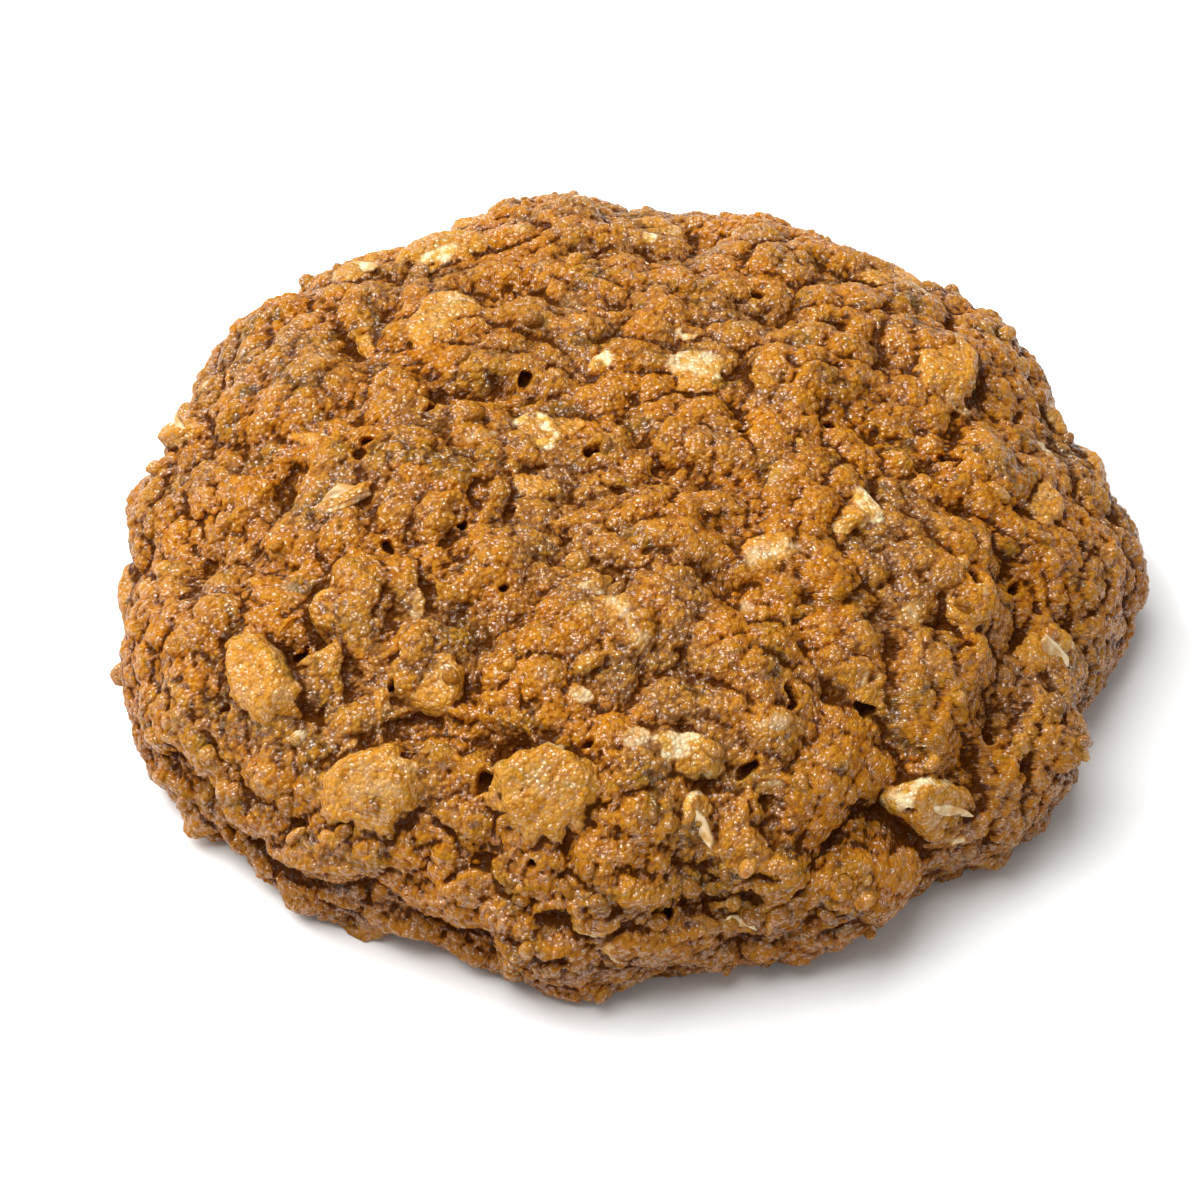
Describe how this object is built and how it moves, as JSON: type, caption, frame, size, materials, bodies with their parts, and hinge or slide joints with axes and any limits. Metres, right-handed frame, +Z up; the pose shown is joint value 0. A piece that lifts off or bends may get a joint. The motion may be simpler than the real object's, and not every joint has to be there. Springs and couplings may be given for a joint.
{
  "type": "oatmeal raisin cookie",
  "caption": "Thick, round, craggy baked oat cookie with a domed top, oat flakes in its crust and a flat underside to rest on.",
  "frame": {"origin": "middle of the underside's level, under the middle of the whole outline", "axes": "+X is the right of the picture, +Y away from the camera, +Z up through the domed top"},
  "size_m": [0.0804, 0.0784, 0.0223],
  "materials": {
    "baked_crumb": "satin"
  },
  "bodies": {
    "root": {"cookie": "baked_crumb"}
  },
  "joints": []
}
